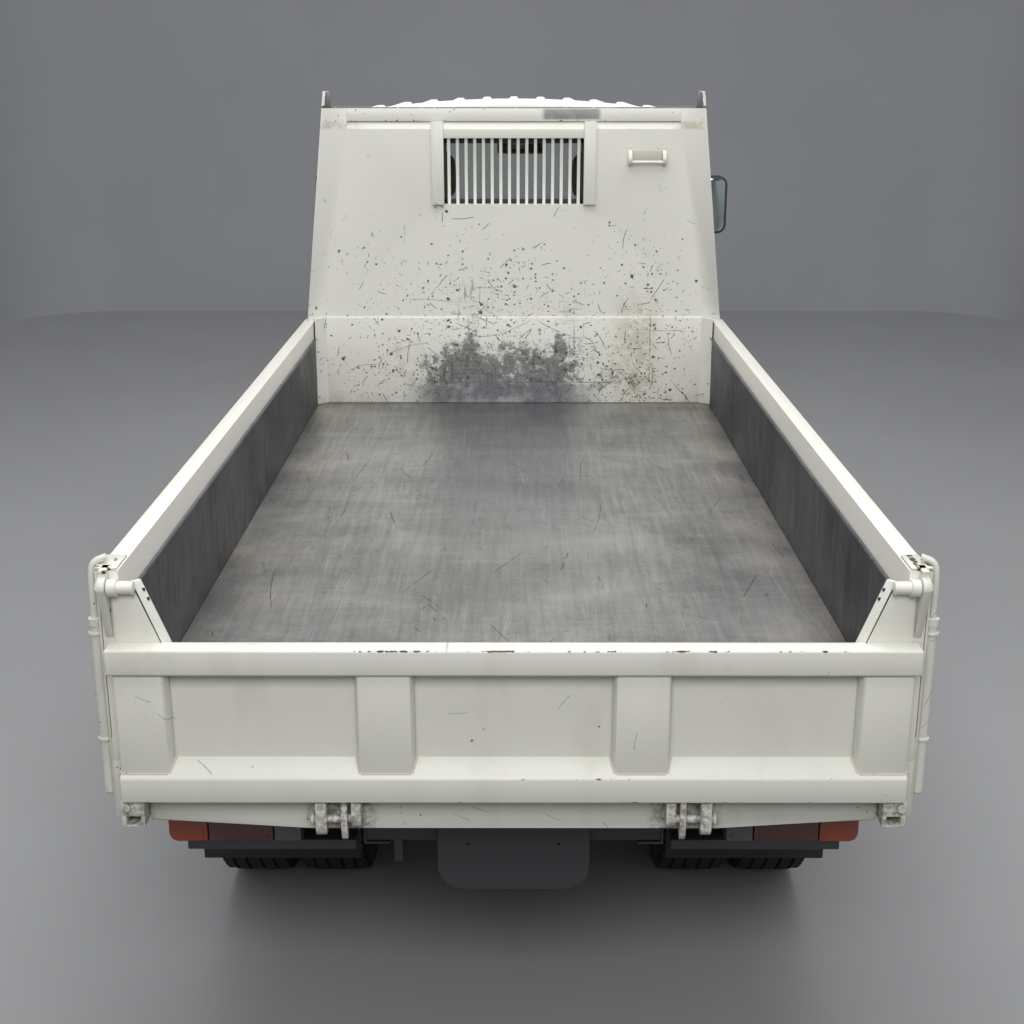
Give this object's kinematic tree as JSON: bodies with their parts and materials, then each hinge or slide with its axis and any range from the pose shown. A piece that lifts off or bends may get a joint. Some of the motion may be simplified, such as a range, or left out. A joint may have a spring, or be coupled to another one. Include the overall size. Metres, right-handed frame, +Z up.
{
  "type": "cab-over dump truck",
  "caption": "Light cab-over dump truck with a tipping steel bed, top-hung tailgate, barred headboard, tilt cab, opening doors and steered front wheels.",
  "frame": {"origin": "on the ground under the middle of the overall length and width", "axes": "+Y forward, +Z up, +X to the right-hand (driver's) side"},
  "size_m": [2.12, 4.69, 2.18],
  "materials": {
    "bed_white": "worn white paint",
    "black_plastic": "matt black plastic",
    "casting": "rough casting",
    "chassis_black": "satin black frame paint",
    "chrome": "chromed rod",
    "glass": "tinted glass",
    "headlamp": "clear lens",
    "lamp": "lamp lens",
    "rubber": "matt rubber",
    "seat": "dark woven cloth",
    "silver": "silver wheel paint",
    "steel": "bare worn steel",
    "trim": "grey interior plastic",
    "tyre": "black rubber",
    "white": "gloss white paint, chipped and scratched"
  },
  "bodies": {
    "chassis": {"frame_rails": "chassis_black", "frame_crossmembers": "chassis_black", "engine_block": "casting", "propeller_shaft": "chassis_black", "front_axle": "chassis_black", "rear_axle": "chassis_black", "leaf_springs": "chassis_black", "front_bumper": "white", "fuel_tank": "silver", "battery_box": "chassis_black", "exhaust": "steel", "mudflaps": "rubber", "rear_lamps": "lamp", "rear_lamp_bracket": "chassis_black"},
    "hoist_barrel": {"hoist_cylinder": "chassis_black"},
    "hoist_plunger": {"hoist_rod": "chrome"},
    "bed": {"bed_floor": "steel", "bed_side_left": "bed_white", "bed_side_right": "bed_white", "bed_liners": "steel", "headboard": "bed_white", "bed_rear_frame": "bed_white", "gate_locks": "bed_white"},
    "gate": {"tailgate": "bed_white"},
    "cab": {"cab_floor": "trim", "cab_front": "white", "cab_back": "white", "cab_roof": "white", "cab_glass": "glass", "cab_side_left": "white", "cab_side_right": "white", "headlamps": "headlamp", "grille": "black_plastic", "mirrors": "black_plastic", "dashboard": "trim", "seats": "seat"},
    "door_left_body": {"door_left": "white", "door_glass_left": "glass"},
    "door_right_body": {"door_right": "white", "door_glass_right": "glass"},
    "steer_left_body": {"knuckle_left": "casting"},
    "steer_right_body": {"knuckle_right": "casting"},
    "tie_rod_body": {"tie_rod": "chassis_black"},
    "wheel_front_left": {"tyre_front_left": "tyre", "rim_front_left": "silver"},
    "wheel_front_right": {"tyre_front_right": "tyre", "rim_front_right": "silver"},
    "wheels_rear_left": {"tyres_rear_left": "tyre", "rims_rear_left": "silver"},
    "wheels_rear_right": {"tyres_rear_right": "tyre", "rims_rear_right": "silver"}
  },
  "joints": [
    {"name": "bed_tip", "type": "hinge", "parent": "chassis", "child": "bed", "pos_m": [0, -2.095, 0.718], "axis": [1, 0, 0], "range_deg": [0, 50]},
    {"name": "tailgate_swing", "type": "hinge", "parent": "bed", "child": "gate", "pos_m": [0, -2.311, 1.26], "axis": [-1, 0, 0], "range_deg": [0, 60]},
    {"name": "hoist_swivel", "type": "hinge", "parent": "chassis", "child": "hoist_barrel", "pos_m": [0, -1.7, 0.5], "axis": [1, 0, 0], "range_deg": [0, 52.05]},
    {"name": "hoist_stroke", "type": "slide", "parent": "hoist_barrel", "child": "hoist_plunger", "axis": [0, 0.8575, 0.5145], "range_m": [0, 0.38051]},
    {"name": "cab_tilt", "type": "hinge", "parent": "chassis", "child": "cab", "pos_m": [0, 2.2, 0.73], "axis": [-1, 0, 0], "range_deg": [0, 45]},
    {"name": "door_left_swing", "type": "hinge", "parent": "cab", "child": "door_left_body", "pos_m": [-0.849, 2.112, 1.4], "axis": [0, 0, -1], "range_deg": [0, 70]},
    {"name": "door_right_swing", "type": "hinge", "parent": "cab", "child": "door_right_body", "pos_m": [0.849, 2.112, 1.4], "axis": [0, 0, 1], "range_deg": [0, 70]},
    {"name": "steer_left", "type": "hinge", "parent": "chassis", "child": "steer_left_body", "pos_m": [-0.6, 1.315, 0.3875], "axis": [0, 0, 1], "range_deg": [-35, 35]},
    {"name": "steer_right", "type": "hinge", "parent": "chassis", "child": "steer_right_body", "pos_m": [0.6, 1.315, 0.3875], "axis": [0, 0, 1], "range_deg": [-35, 35]},
    {"name": "tie_rod_pivot", "type": "hinge", "parent": "steer_left_body", "child": "tie_rod_body", "pos_m": [-0.6, 1.185, 0.3], "axis": [0, 0, 1], "range_deg": [-35, 35]},
    {"name": "front_left_spin", "type": "hinge", "parent": "steer_left_body", "child": "wheel_front_left", "pos_m": [-0.68, 1.315, 0.3875], "axis": [1, 0, 0], "continuous": true},
    {"name": "rear_left_spin", "type": "hinge", "parent": "chassis", "child": "wheels_rear_left", "pos_m": [-0.615, -1.185, 0.3875], "axis": [1, 0, 0], "continuous": true},
    {"name": "front_right_spin", "type": "hinge", "parent": "steer_right_body", "child": "wheel_front_right", "pos_m": [0.68, 1.315, 0.3875], "axis": [1, 0, 0], "continuous": true},
    {"name": "rear_right_spin", "type": "hinge", "parent": "chassis", "child": "wheels_rear_right", "pos_m": [0.615, -1.185, 0.3875], "axis": [1, 0, 0], "continuous": true}
  ],
  "couplings": [
    {"joint": "hoist_swivel", "follows": "bed_tip", "ratio": 1.0407},
    {"joint": "hoist_stroke", "follows": "bed_tip", "m_per_rad": 0.43592},
    {"joint": "steer_right", "follows": "steer_left", "ratio": 1},
    {"joint": "tie_rod_pivot", "follows": "steer_left", "ratio": -1}
  ]
}
